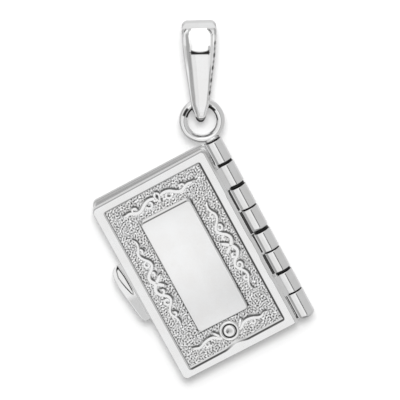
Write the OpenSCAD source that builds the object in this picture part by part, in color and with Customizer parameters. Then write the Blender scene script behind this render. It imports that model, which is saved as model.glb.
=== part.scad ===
/* [Bail] */
// Inside radius of the loop at its top, where the chain sits
chain_r = 1.2; // [1.1:0.05:1.3]
// Thickness of the wall over the chain
bail_wall = 0.6; // [0.5:0.05:0.7]
// Drop from the chain seat to the middle of the ring's wire
eye_drop = 5.7; // [5.5:0.1:6.2]
// Width across the top
bail_top_w = 2.63; // [2.5:0.01:2.8]
// Width beside the ring's wire
bail_eye_w = 1.43; // [1.4:0.01:1.5]
// Radius of the rounded top corners
bail_corner_r = 0.45; // [0.3:0.05:0.55]
// Radius of the tip at the bottom
bail_tip_r = 0.24; // [0.2:0.02:0.3]
// Drop from the middle of the ring's wire to the tip
bail_tip_drop = 1.65; // [1.5:0.05:1.7]
// Half depth at the bottom, seen from the side
bail_foot_r = 0.8; // [0.75:0.01:0.9]

/* [Ring and pin] */
// Radius of the ring along the middle of its wire
ring_r = 1.43; // [1.4:0.01:1.5]
// Radius of the ring's wire
wire_r = 0.32; // [0.28:0.01:0.34]
// Radius of the hinge's pin
pin_r = 0.35; // [0.3:0.01:0.36]
// Radius of the solder that joins the ring to the pin
solder_r = 0.6; // [0.45:0.01:0.65]
// Lean of the book as it hangs from its ring
lean = 26.5; // [25:0.5:28]

/* [Book] */
// Height of the covers
book_h = 15.46; // [15.3:0.02:15.6]
// Distance from the hinge's axis to the fore-edge
fore_x = 10.65; // [10:0.05:11]
// Distance from the hinge's axis to the covers' inner edge
spine_x = 0.75; // [0.7:0.01:0.8]
// Thickness of the closed book
book_t = 2.9; // [2.85:0.01:3]
// Radius of the covers' corners
corner_r = 0.4; // [0.3:0.05:0.5]

/* [Covers] */
// Thickness of one cover
cover_t = 0.75; // [0.72:0.01:0.78]
// Depth of the sunk field
field_depth = 0.22; // [0.15:0.01:0.25]
// Width of the rim at the fore-edge
fore_rim = 0.81; // [0.7:0.01:0.85]
// Width of the rim at the hinge
hinge_rim = 0.89; // [0.8:0.01:0.95]
// Width of the rim above the field
top_rim = 0.78; // [0.7:0.01:0.85]
// Width of the rim below the field
bottom_rim = 0.7; // [0.6:0.01:0.75]
// Width of the raised panel
panel_w = 4.31; // [4.1:0.01:4.4]
// Height of the raised panel
panel_h = 9.88; // [9.4:0.02:9.9]
// Height of the scrolls over the field
scroll_h = 0.19; // [0.12:0.01:0.22]

/* [Pages] */
// Thickness of one page
page_t = 0.45; // [0.4:0.01:0.47]
// Thickness of the neck between a page and its knuckles
page_neck_t = 0.25; // [0.2:0.01:0.4]
// How far the pages stand back from the covers' edges
page_inset = 0.15; // [0.1:0.01:0.25]

/* [Hinge] */
// Outer radius of the knuckles
barrel_r = 0.68; // [0.66:0.01:0.7]
// Radial play of the pin in the leaves that turn
running_play = 0.04; // [0.02:0.01:0.06]

/* [Clasp] */
// How far the clasp stands out from the fore-edge
clasp_reach = 1.0; // [0.9:0.02:1.1]
// Height of the clasp
clasp_h = 4.99; // [4.8:0.01:5.1]
// Width of the clasp across the book's thickness
clasp_w = 2.3; // [2:0.05:2.5]

/* [Hidden] */
$fn = 96;

// Book frame: origin at the ring's centre, +Z up along the hinge's axis,
// -X towards the fore-edge and -Y towards the back cover.
ring_drop = eye_drop + ring_r;
ring_play = 0.04;
book_top = -1.80;
book_bottom = book_top - book_h;
half_t = book_t / 2;
over = 1;
bite = 0.05;
ease = 0.004;
arc_steps = 6;

// Knuckles from the top down: the leaf that owns each, its length, the gap under it
OWNER = 0;
LENGTH = 1;
GAP = 2;
first_knuckle_z = book_top;
knuckles = [
    ["front_cover", 1.78, 0.20],
    ["back_cover", 1.78, 0.26],
    ["page_1", 1.79, 0.10],
    ["page_2", 1.90, 0.17],
    ["page_1", 1.62, 0.09],
    ["page_2", 1.73, 0.20],
    ["back_cover", 1.72, 0.09],
    ["front_cover", 2.25, 0]
];
last_knuckle = len(knuckles) - 1;
function knuckle_top(i) =
    i == 0 ? first_knuckle_z
           : knuckle_top(i - 1) - knuckles[i - 1][LENGTH] - knuckles[i - 1][GAP];
function knuckle_bottom(i) = knuckle_top(i) - knuckles[i][LENGTH];
knuckle_end_r = 0.3;
pin_cap = 0.45;
solder_h = 0.2;
pin_end_z = knuckle_bottom(last_knuckle) + pin_cap;
fixed_play = 0.02;

// Sloping tab between a cover's inner edge and its knuckle, seen along the hinge
tab = [[-1.0, -1.15], [-1.0, -0.72], [-0.82, -0.72], [-0.45, -0.35], [-0.2, -0.3], [-0.37, -0.57]];
page_spine_gap = 0.2;
page_spine_x = spine_x + page_spine_gap;
page_fore_x = fore_x - page_inset;
page_gap = 0.08;

// Places on the cover's outer face
field_corner_r = 0.1;
panel_centre = [-5.705, -9.49];
panel_corner_r = 0.3;
boss_centre = [-5.76, -15.37];
boss_r = 0.8;
boss_ring_w = 0.24;
boss_disc_r = 0.47;
// The rim below the field swells up towards the boss
swell_rise = 0.16;
swell_half_w = 0.9;
swell_steps = 8;

// Strokes of half a scroll, drawn from its middle outwards: along, across, half width.
// Across is positive away from the panel.
ALONG = 0;
ACROSS = 1;
HALF_W = 2;
side_vine = [
    [0.00, 0.01, 0.16], [0.31, 0.23, 0.14], [0.60, 0.28, 0.13], [0.91, 0.11, 0.12],
    [1.11, -0.15, 0.12], [1.34, -0.36, 0.12], [1.60, -0.42, 0.11], [1.88, -0.29, 0.11],
    [2.14, -0.07, 0.10], [2.44, 0.09, 0.10], [2.74, 0.09, 0.10], [3.01, -0.06, 0.09],
    [3.31, -0.18, 0.08], [3.60, -0.17, 0.06], [3.84, -0.06, 0.03]
];
side_leaf = [
    [0.06, -0.06, 0.12], [0.22, -0.28, 0.14], [0.37, -0.47, 0.11], [0.50, -0.62, 0.04]
];
end_vine = [
    [0.24, 0.04, 0.11], [0.50, 0.14, 0.12], [0.80, 0.14, 0.12], [1.10, 0.02, 0.13],
    [1.38, -0.18, 0.13], [1.66, -0.32, 0.13], [1.96, -0.34, 0.13], [2.22, -0.22, 0.12],
    [2.52, -0.11, 0.11], [2.84, -0.14, 0.10], [3.16, -0.09, 0.06]
];
eye_side = [
    [0.00, 0.42, 0.06], [0.15, 0.27, 0.08], [0.18, 0.06, 0.08], [0.08, -0.15, 0.07],
    [0.03, -0.40, 0.07]
];
boss_leaf = [
    [0.80, -0.02, 0.07], [0.98, -0.22, 0.10], [1.14, -0.44, 0.07], [1.22, -0.54, 0.03]
];
// Curls off the vines: centre along and across, first and last radius, first and last
// angle, half width
CURL_R = 2;
CURL_END_R = 3;
CURL_FROM = 4;
CURL_TO = 5;
CURL_HALF_W = 6;
side_curls = [
    [0.74, -0.14, 0.20, 0.08, 20, -190, 0.10],
    [1.63, -0.11, 0.28, 0.11, -25, 300, 0.09],
    [2.74, -0.13, 0.22, 0.08, 15, -190, 0.09]
];
end_curls = [
    [0.81, -0.19, 0.32, 0.12, -10, -270, 0.09],
    [2.01, -0.08, 0.24, 0.11, -30, 200, 0.08]
];
outer_curl = 1;
steps_per_curl = 8;
steps_per_leg = 2;
side_scroll_x = [-8.99, -2.50];
side_scroll_z = -9.42;
top_scroll_at = [-5.68, -3.49];
bottom_scroll_at = [-5.76, -15.48];

// Clasp outline seen from the back, from the tip of its upper loop round the outside:
// share of the reach, share of the height
clasp_outline = [
    [0.31, 0.00], [0.76, 0.048], [0.90, 0.097], [1.00, 0.208], [0.99, 0.355],
    [0.69, 0.922], [0.50, 0.984], [0.06, 1.00], [0.06, 0.56], [0.13, 0.44], [0.17, 0.20]
];
clasp_slot = [
    [0.36, 0.07], [0.58, 0.13], [0.67, 0.24], [0.60, 0.40], [0.40, 0.53], [0.28, 0.50],
    [0.24, 0.30]
];
clasp_top_z = -6.75;

// Half of the bail's outline below its corners, seen from the front: how far inside the
// half width it is measured from, and the height
shoulder = [[0.02, -0.74], [0.11, -1.94]];
waist = [0.145, -4.6];
tip_shoulder = [0.29, 0.8];
tip_from = -18;
down = -90;

// Straight side between two circles on one line, eased in from their common tangent
function tangent_side(r1, z1, r2, z2) =
    let (s = (r1 - r2) / (z1 - z2), c = sqrt(1 - s * s))
    [[(r1 - ease) * c, z1 - (r1 - ease) * s], [(r2 - ease) * c, z2 - (r2 - ease) * s]];

// Solid along X with a teardrop outline in Y and Z
module teardrop(r1, z1, r2, z2, w) {
    side = tangent_side(r1, z1, r2, z2);
    rotate([90, 0, 90]) {
        translate([0, z1, -w / 2]) cylinder(r = r1, h = w);
        translate([0, z2, -w / 2]) cylinder(r = r2, h = w);
        translate([0, 0, -w / 2]) linear_extrude(w)
            polygon([side[0], side[1], [-side[1][0], side[1][1]], [-side[0][0], side[0][1]]]);
    }
}

function arc(x, z, r, from, to) =
    [for (k = [0 : arc_steps]) let (a = from + (to - from) * k / arc_steps)
        [x + r * cos(a), z + r * sin(a)]];

// Smooth curve through a table's rows
function leg_point(a, b, c, d, t) =
    0.5 * ((2 * b) + (c - a) * t + (2 * a - 5 * b + 4 * c - d) * t * t
           + (3 * b - a - 3 * c + d) * t * t * t);
function smooth(rows, steps) =
    let (last = len(rows) - 1)
    concat([for (i = [0 : last - 1], k = [0 : steps - 1])
                leg_point(rows[max(i - 1, 0)], rows[i], rows[i + 1], rows[min(i + 2, last)],
                          k / steps)],
           [rows[last]]);
function spiral(row) =
    [for (k = [0 : steps_per_curl])
        let (t = k / steps_per_curl,
             r = row[CURL_R] + (row[CURL_END_R] - row[CURL_R]) * t,
             a = row[CURL_FROM] + (row[CURL_TO] - row[CURL_FROM]) * t)
        [row[ALONG] + r * cos(a), row[ACROSS] + r * sin(a), row[CURL_HALF_W]]];
function heading(path, i) =
    let (a = path[max(i - 1, 0)], b = path[min(i + 1, len(path) - 1)],
         d = [b[0] - a[0], b[1] - a[1]])
    d / norm(d);
function edge_point(path, i, side) =
    let (h = heading(path, i))
    [path[i][ALONG] - side * h[1] * path[i][HALF_W], path[i][ACROSS] + side * h[0] * path[i][HALF_W]];
function stroke_outline(path) =
    let (last = len(path) - 1)
    concat([for (i = [0 : last]) edge_point(path, i, 1)],
           [for (i = [last : -1 : 0]) edge_point(path, i, -1)]);

module stroke(path) {
    polygon(stroke_outline(path));
}

module both_ways() {
    children();
    mirror([1, 0]) children();
}

module side_scroll() {
    both_ways() {
        stroke(smooth(side_vine, steps_per_leg));
        stroke(smooth(side_leaf, steps_per_leg));
        for (row = side_curls)
            stroke(spiral(row));
    }
}

module top_scroll() {
    both_ways() {
        stroke(smooth(end_vine, steps_per_leg));
        stroke(smooth(eye_side, steps_per_leg));
        for (row = end_curls)
            stroke(spiral(row));
    }
}

module bottom_scroll() {
    both_ways() {
        stroke(smooth(end_vine, steps_per_leg));
        stroke(smooth(boss_leaf, steps_per_leg));
        stroke(spiral(end_curls[outer_curl]));
    }
}

// A plane shape in X and Z, given its thickness along Y
module slab(y_low, y_high) {
    translate([0, y_high, 0]) rotate([90, 0, 0]) linear_extrude(y_high - y_low) children();
}

module rounded_rect(x_low, x_high, z_low, z_high, r) {
    translate([x_low + r, z_low]) square([x_high - x_low - 2 * r, z_high - z_low]);
    translate([x_low, z_low + r]) square([x_high - x_low, z_high - z_low - 2 * r]);
    for (x = [x_low + r, x_high - r], z = [z_low + r, z_high - r])
        translate([x, z]) circle(r);
}

module in_place() {
    translate([0, 0, -ring_drop]) rotate([0, -lean, 0]) children();
}

module cover_shape() {
    rounded_rect(-fore_x, -spine_x, book_bottom, book_top, corner_r);
}

module field_shape() {
    difference() {
        rounded_rect(-fore_x + fore_rim, -spine_x - hinge_rim,
                     book_bottom + bottom_rim, book_top - top_rim, field_corner_r);
        translate([boss_centre[0], book_bottom + bottom_rim])
            polygon([for (k = [-swell_steps : swell_steps])
                let (t = k / swell_steps)
                [swell_half_w * t, swell_rise * (1 + cos(180 * t)) / 2]]);
    }
}

module panel_shape() {
    rounded_rect(panel_centre[0] - panel_w / 2, panel_centre[0] + panel_w / 2,
                 panel_centre[1] - panel_h / 2, panel_centre[1] + panel_h / 2, panel_corner_r);
}

module knuckle(i) {
    translate([0, 0, knuckle_bottom(i)]) cylinder(r = barrel_r, h = knuckles[i][LENGTH]);
}

module last_knuckle_body() {
    translate([0, 0, knuckle_bottom(last_knuckle)])
        rotate_extrude() intersection() {
            rounded_rect(-barrel_r, barrel_r, 0, knuckles[last_knuckle][LENGTH] + over,
                         knuckle_end_r);
            square([barrel_r, knuckles[last_knuckle][LENGTH]]);
        }
}

module cover_tab(i) {
    translate([0, 0, knuckle_bottom(i)]) linear_extrude(knuckles[i][LENGTH]) polygon(tab);
}

module bore(play) {
    translate([0, 0, pin_end_z - fixed_play])
        cylinder(r = pin_r + play, h = over - pin_end_z);
}

// One cover with its rim, field, panel and boss, its outer face towards -Y
module cover_plate() {
    difference() {
        slab(-half_t, -half_t + cover_t) cover_shape();
        slab(-half_t - over, -half_t + field_depth) field_shape();
    }
    relief_foot = -half_t + field_depth + bite;
    slab(-half_t, relief_foot) panel_shape();
    slab(-half_t, relief_foot)
        translate(boss_centre) difference() {
            circle(boss_r);
            circle(boss_r - boss_ring_w);
        }
    slab(-half_t, relief_foot) translate(boss_centre) circle(boss_disc_r);
    scroll_top = -half_t + field_depth - scroll_h;
    slab(scroll_top, relief_foot) {
        translate([side_scroll_x[0], side_scroll_z]) rotate(90) side_scroll();
        translate([side_scroll_x[1], side_scroll_z]) rotate(-90) side_scroll();
        translate(top_scroll_at) top_scroll();
        difference() {
            translate(bottom_scroll_at) mirror([0, 1]) bottom_scroll();
            translate(boss_centre) circle(boss_r - boss_ring_w / 2);
        }
    }
}

module bail() {
    blank_w = 2 * bail_top_w;
    color("silver") difference() {
        intersection() {
            teardrop(chain_r + bail_wall, -chain_r,
                     bail_foot_r, -eye_drop - bail_tip_drop + bail_foot_r, blank_w);
            slab(-blank_w, blank_w) bail_outline();
        }
        teardrop(chain_r, -chain_r, wire_r + ring_play, -eye_drop, blank_w + over);
        translate([0, 0, -eye_drop]) rotate([0, 90, 0]) difference() {
            cylinder(r = ring_r, h = bail_top_w, center = true);
            rotate_extrude() translate([ring_r, 0]) circle(ring_r - wire_r - ring_play);
        }
    }
}

module bail_outline() {
    half_top = bail_top_w / 2;
    half_eye = bail_eye_w / 2;
    tip_z = -eye_drop - bail_tip_drop + bail_tip_r;
    right = concat(
        arc(half_top - bail_corner_r, bail_wall - bail_corner_r, bail_corner_r, 90, 0),
        [for (p = shoulder) [half_top - p[0], p[1]]],
        [[half_eye + waist[0], waist[1]], [half_eye, -eye_drop],
         [half_eye - tip_shoulder[0], -eye_drop - tip_shoulder[1]]],
        arc(0, tip_z, bail_tip_r, tip_from, down));
    polygon(concat(right, [for (i = [len(right) - 2 : -1 : 0]) [-right[i][0], right[i][1]]]));
}

module ring_and_pin() {
    color("silver") in_place() {
        rotate([90, 0, 0]) rotate_extrude() translate([ring_r, 0]) circle(wire_r);
        translate([0, 0, pin_end_z]) cylinder(r = pin_r, h = -pin_end_z - ring_r);
        translate([0, 0, book_top + running_play]) cylinder(r1 = solder_r, r2 = pin_r, h = solder_h);
    }
}

module front_cover() {
    color("gainsboro") in_place() difference() {
        union() {
            mirror([0, 1, 0]) cover_plate();
            mirror([0, 1, 0]) cover_tab(0);
            mirror([0, 1, 0]) cover_tab(last_knuckle);
            knuckle(0);
            last_knuckle_body();
        }
        bore(fixed_play);
    }
}

module back_cover() {
    color("gainsboro") in_place() difference() {
        union() {
            cover_plate();
            for (i = [0 : last_knuckle])
                if (knuckles[i][OWNER] == "back_cover") {
                    cover_tab(i);
                    knuckle(i);
                }
        }
        bore(running_play);
    }
}

module page(name, y_low) {
    neck_low = y_low > 0 ? y_low : y_low + page_t - page_neck_t;
    difference() {
        union() {
            slab(y_low, y_low + page_t)
                rounded_rect(-page_fore_x, -page_spine_x, book_bottom + page_inset,
                             book_top - page_inset, corner_r);
            for (i = [0 : last_knuckle])
                if (knuckles[i][OWNER] == name) {
                    knuckle(i);
                    translate([-page_spine_x - corner_r, neck_low, knuckle_bottom(i)])
                        cube([page_spine_x, page_neck_t, knuckles[i][LENGTH]]);
                }
        }
        bore(running_play);
    }
}

module page_1() {
    color("whitesmoke") in_place() page("page_1", page_gap);
}

module page_2() {
    color("whitesmoke") in_place() page("page_2", -page_gap - page_t);
}

module clasp() {
    color("silver") in_place()
        slab(-clasp_w / 2, clasp_w / 2)
            translate([-fore_x, clasp_top_z]) difference() {
                polygon([for (p = clasp_outline) [-p[0] * clasp_reach, -p[1] * clasp_h]]);
                polygon([for (p = clasp_slot) [-p[0] * clasp_reach, -p[1] * clasp_h]]);
            }
}

bail();
ring_and_pin();
front_cover();
page_1();
page_2();
back_cover();
clasp();
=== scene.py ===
# Bible pendant: a small hinged book of white metal that hangs by a ring from a tapered bail
import bpy
import bmesh
import math
import numpy as np
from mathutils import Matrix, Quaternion, Vector


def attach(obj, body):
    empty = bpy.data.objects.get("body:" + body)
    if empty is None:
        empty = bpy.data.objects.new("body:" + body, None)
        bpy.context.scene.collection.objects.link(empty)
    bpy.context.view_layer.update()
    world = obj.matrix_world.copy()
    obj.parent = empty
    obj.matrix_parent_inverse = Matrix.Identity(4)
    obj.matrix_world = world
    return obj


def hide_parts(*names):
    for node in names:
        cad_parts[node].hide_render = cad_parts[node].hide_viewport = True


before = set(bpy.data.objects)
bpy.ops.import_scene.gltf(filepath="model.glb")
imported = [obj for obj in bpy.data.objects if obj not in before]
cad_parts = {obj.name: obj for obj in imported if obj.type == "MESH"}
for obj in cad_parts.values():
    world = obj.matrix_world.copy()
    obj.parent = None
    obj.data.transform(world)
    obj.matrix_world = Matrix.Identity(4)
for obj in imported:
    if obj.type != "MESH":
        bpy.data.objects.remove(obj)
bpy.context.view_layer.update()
mm = 0.001
print("frame: loaded", len(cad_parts), "nodes")

# Book space: origin at the ring's centre, +Z up the hinge, -X to the fore-edge, -Y to the back
book = {
    "lean": math.radians(26.5), "leanSeen": 28, "ringDrop": 7.13,
    "top": -1.8, "bottom": -17.26, "foreX": -10.65, "spineX": -.75,
    "halfThick": 1.45, "cornerR": .4, "lowerHingeR": .16,
}


# Places and shapes, all in millimetres until a piece is made

def fromBook(points):
    c, s = math.cos(book["lean"]), math.sin(book["lean"])
    x, y, z = points.T
    return np.stack([x * c - z * s, y, x * s + z * c - book["ringDrop"]], 1)


def ease(value, low, high):  # 0 up to low, 1 from high on
    t = np.clip((np.asarray(value, float) - low) / (high - low), 0, 1)
    return t * t * (3 - 2 * t)


def fade(value, low, high):  # 1 up to low, 0 from high on
    return 1 - ease(value, low, high)


def between(value, riseFrom, riseTo, fallFrom, fallTo):
    return ease(value, riseFrom, riseTo) * fade(value, fallFrom, fallTo)


def softLine(away, wide):  # 1 on a line, 0 well away from it
    return np.exp(-(away / wide) ** 2)


def along(table, at, column=1):  # each row is a place and the values there
    rows = np.array(sorted(table))
    return np.interp(at, rows[:, 0], rows[:, column])


def edgeDrop(fromEdge, r):  # how far a rounded edge falls away
    return r - math.sqrt(max(r * r - max(r - fromEdge, 0) ** 2, 0))


def circle(radius, steps):
    a = np.arange(steps) * 2 * math.pi / steps
    return radius * np.cos(a), radius * np.sin(a)


def gridFaces(rows, columns, closeRows=False, closeColumns=False):
    faces = []
    for i in range(rows if closeRows else rows - 1):
        low, high = i * columns, (i + 1) % rows * columns
        for j in range(columns if closeColumns else columns - 1):
            n = (j + 1) % columns
            faces.append([low + j, low + n, high + n, high + j])
    return faces


def linked(name, data):
    made = bpy.data.objects.new(name, data)
    bpy.context.scene.collection.objects.link(made)
    return made


class Shape:  # gathers loose meshes, then makes one piece
    def __init__(self):
        self.points, self.faces, self.paintedShade = [], [], []

    def add(self, points, faces, paintedShade):
        # the painted shade value: painted shade and painted dark reflections, 0 on open surfaces
        # and 1 where the colour is painted darkest, as in grooves and gaps
        start = len(self.points)
        self.points += [tuple(p) for p in points]
        self.paintedShade += list(np.broadcast_to(paintedShade, len(points)))
        self.faces += [[start + k for k in face] for face in faces]
        return self

    def addLoops(self, loops, paintedShade, closeRows=False, capStart=True):
        count = len(loops[0])
        faces = gridFaces(len(loops), count, closeRows, True)
        if capStart and not closeRows:
            faces.append(list(range(count))[::-1])
        if not closeRows:
            faces.append([(len(loops) - 1) * count + k for k in range(count)])
        shades = [np.broadcast_to(shade, count) for shade in paintedShade]
        return self.add(np.concatenate(loops), faces, np.concatenate(shades))

    def addTurned(self, profile, steps=64):
        # profile rows are radius, height and painted shade; its last row joins its first
        loops = [np.stack([*circle(r, steps), np.full(steps, z)], 1) for r, z, _ in profile]
        return self.addLoops(loops, [row[2] for row in profile], closeRows=True)

    def addPrism(self, outline, low, high, bevel, paintedShade, rows=1):
        mesh = bmesh.new()
        layers = [[mesh.verts.new((x, y, low + (high - low) * row / rows)) for x, y in outline]
                  for row in range(rows + 1)]
        mesh.faces.new(layers[0])
        mesh.faces.new(layers[-1][::-1])
        for below, above in zip(layers, layers[1:]):
            for k in range(len(outline)):
                n = (k + 1) % len(outline)
                mesh.faces.new([below[k], above[k], above[n], below[n]])
        bmesh.ops.recalc_face_normals(mesh, faces=mesh.faces)
        sharp = math.radians(25)
        edges = [edge for edge in mesh.edges if edge.calc_face_angle(0) > sharp]
        bmesh.ops.bevel(mesh, geom=edges, offset=bevel, offset_type="OFFSET", segments=2,
                        profile=0.5, affect="EDGES", clamp_overlap=True)
        mesh.verts.index_update()
        self.add([v.co for v in mesh.verts], [[v.index for v in f.verts] for f in mesh.faces],
                 [paintedShade(v.co) for v in mesh.verts] if callable(paintedShade) else paintedShade)
        mesh.free()

    def make(self, name, body, slot, metalName, mirrorY=False, inBook=True, closed=True):
        points, faces = np.array(self.points, float), self.faces
        if mirrorY:
            points, faces = points * [1, -1, 1], [face[::-1] for face in faces]
        mesh = bpy.data.meshes.new(name)
        mesh.from_pydata((fromBook(points) if inBook else points) * mm, [], faces)
        if closed:
            work = bmesh.new()
            work.from_mesh(mesh)
            bmesh.ops.recalc_face_normals(work, faces=work.faces)
            work.to_mesh(mesh)
            work.free()
        mesh.update()
        shadeByArea(mesh)
        depth = mesh.attributes.new("paintedShade", "FLOAT", "POINT")
        depth.data.foreach_set("value", np.array(self.paintedShade, np.float32))
        mesh.materials.append(finish[metalName])
        piece = linked(name, mesh)
        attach(piece, body)
        return piece


def read(items, name, width=1, kind=float):
    values = np.zeros(len(items) * width, kind)
    items.foreach_get(name, values)
    return values.reshape(-1, width)


def shadeByArea(mesh):
    # large faces keep their own direction, so small bevels beside them read as crisp edges
    sides, total = mesh.polygons, np.zeros((len(mesh.vertices), 3))
    weighted = read(sides, "normal", 3) * read(sides, "area")
    weighted = np.repeat(weighted, read(sides, "loop_total", kind=np.int32)[:, 0], axis=0)
    np.add.at(total, read(mesh.loops, "vertex_index", kind=np.int32)[:, 0], weighted)
    length = np.linalg.norm(total, axis=1)[:, None]
    sides.foreach_set("use_smooth", np.ones(len(sides), bool))
    mesh.normals_split_custom_set_from_vertices((total / np.where(length > 0, length, 1)).tolist())


cornerSteps, sideSteps = 8, 48  # the same in all rounded loops, so they join up


def roundedLoop(xLow, xHigh, zLow, zHigh, radius, y, bottomBulge=None):
    r = list(np.broadcast_to(radius, 4))
    corners = [(xHigh - r[0], zHigh - r[0]), (xLow + r[1], zHigh - r[1]),
               (xLow + r[2], zLow + r[2]), (xHigh - r[3], zLow + r[3])]
    points = []
    for k, (cx, cz) in enumerate(corners):
        for step in range(cornerSteps + 1):
            a = math.radians(90 * k + 90 * step / cornerSteps)
            points.append([cx + r[k] * math.cos(a), y, cz + r[k] * math.sin(a)])
        nx, nz = corners[(k + 1) % 4]
        ux, uz = math.cos(a), math.sin(a)
        for step in range(1, sideSteps):
            t = step / sideSteps
            wide = r[k] + (r[(k + 1) % 4] - r[k]) * t
            point = [cx + (nx - cx) * t + wide * ux, y, cz + (nz - cz) * t + wide * uz]
            if k == 2 and bottomBulge:
                point[2] += bottomBulge(point[0])
            points.append(point)
    return points


def sideValues(*sides):
    # one value for each point of a rounded loop: top, left, bottom, right, blended in the corners
    values = []
    for k in range(4):
        for step in range(cornerSteps + 1):
            values.append(sides[k - 1] + (sides[k] - sides[k - 1]) * step / cornerSteps)
        values += [sides[k]] * (sideSteps - 1)
    return values


# Shader maths as plain Python

class Wire:  # one socket of a material
    def __init__(self, maker, socket):
        self.maker, self.socket = maker, socket

    def sum(self, operation, *others):
        return self.maker.node("ShaderNodeMath", {"operation": operation},
                               dict(enumerate([self, *others])))

    def __add__(self, other): return self.sum("ADD", other)
    def __sub__(self, other): return self.sum("SUBTRACT", other)
    def __mul__(self, other): return self.sum("MULTIPLY", other)
    def __rsub__(self, other): return self * -1 + other
    __radd__, __rmul__ = __add__, __mul__

    def ramp(self, low, high, to=(0, 1)):
        return self.maker.node("ShaderNodeMapRange", {"interpolation_type": "SMOOTHSTEP"},
                               {"Value": self, "From Min": low, "From Max": high,
                                "To Min": to[0], "To Max": to[1]})


class Maker:  # one node tree
    def __init__(self, tree):
        self.tree = tree
        tree.nodes.clear()

    def node(self, kind, settings=None, sockets=None, out=0):
        made = self.tree.nodes.new(kind)
        for key, value in (settings or {}).items():
            setattr(made, key, value)
        for key, value in (sockets or {}).items():
            if isinstance(value, Wire):
                self.tree.links.new(value.socket, made.inputs[key])
            else:
                made.inputs[key].default_value = value
        return Wire(self, made.outputs[out]) if len(made.outputs) else None

    def mix(self, factor, first, second):
        return self.node("ShaderNodeMix", {"data_type": "RGBA"},
                         {0: factor, 6: first, 7: second}, out=2)

    def noise(self, at, scale, detail=2.0, rough=0.5, stretch=None):
        if stretch:
            at = self.node("ShaderNodeMapping", {}, {"Vector": at, "Scale": stretch})
        return self.node("ShaderNodeTexNoise", {},
                         {"Vector": at, "Scale": scale, "Detail": detail, "Roughness": rough})


def grey(value, warmth=0.0):
    return (value * (1 + warmth), value, value * (1 - warmth), 1)


def newMaterial(name):
    material = bpy.data.materials.new(name)
    material.use_nodes = True
    return material, Maker(material.node_tree)


metals = {
    # tone, how much it varies, roughness low and high, cast ripple, brushed lines, tone where
    # shade is painted
    "rimMetal": (.895, .02, (.1, .16), .02, 0, .1),
    "fieldMetal": (.92, .03, (.14, .24), .1, 0, .04),
    "panelMetal": (.955, .02, (.09, .15), .01, 0, .1),
    "scrollMetal": (.94, .02, (.12, .2), .03, 0, .04),
    "bailMetal": (.92, .02, (.07, .13), .02, 0, .04),
    "ringMetal": (.9, .02, (.07, .13), .02, 0, .03),
    "hingeMetal": (.9, .03, (.08, .14), .02, 0, .1),
    "pageMetal": (.88, .04, (.22, .34), .02, .12, .08),
    "claspMetal": (.9, .03, (.1, .18), .02, 0, .03),
}
surface = {
    # scale, detail and roughness of each noise
    "cloud": (700, 3, .6), "wear": (5200, 3, .65), "lines": (1600, 4, .7),
    "stretch": (1, 1, 14), "warmth": .004, "paintedShadeWarmth": .01, "paintedShadeRough": .15,
    "wearShare": .08, "bump": .6, "bumpDeep": .05,
}


def metal(name):
    tone, vary, rough, ripple, brush, dark = metals[name]
    warm = surface["warmth"]
    material, make = newMaterial(name)
    at = make.node("ShaderNodeTexCoord", out=3)
    cloud, wear = make.noise(at, *surface["cloud"]), make.noise(at, *surface["wear"])
    depth = make.node("ShaderNodeAttribute", {"attribute_name": "paintedShade"}, out=2)
    colour = make.mix(cloud.ramp(0.3, 0.7), grey(tone - vary, warm), grey(tone + vary, -warm))
    # painted shade: the colour darkens to the shade tone by the painted shade value
    colour = make.mix(depth, colour, grey(tone * dark, surface["paintedShadeWarmth"]))
    dull = (cloud * 0.5 + wear * 0.5).ramp(0.35, 0.65, rough) + depth * surface["paintedShadeRough"]
    height = cloud * ripple + wear * (ripple * surface["wearShare"])
    if brush:
        height = height + make.noise(at, *surface["lines"], surface["stretch"]) * brush
    bump = make.node("ShaderNodeBump", {}, {
        "Strength": surface["bump"], "Distance": surface["bumpDeep"] * mm, "Height": height})
    shader = make.node("ShaderNodeBsdfPrincipled", {}, {
        "Base Color": colour, "Roughness": dull, "Metallic": 1.0, "Normal": bump})
    make.node("ShaderNodeOutputMaterial", {}, {"Surface": shader})
    return material


finish = {name: metal(name) for name in metals}
print("finishes:", len(finish))

# Bail: a tapered loop, its back strap sunk inside a rounded rim

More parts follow.
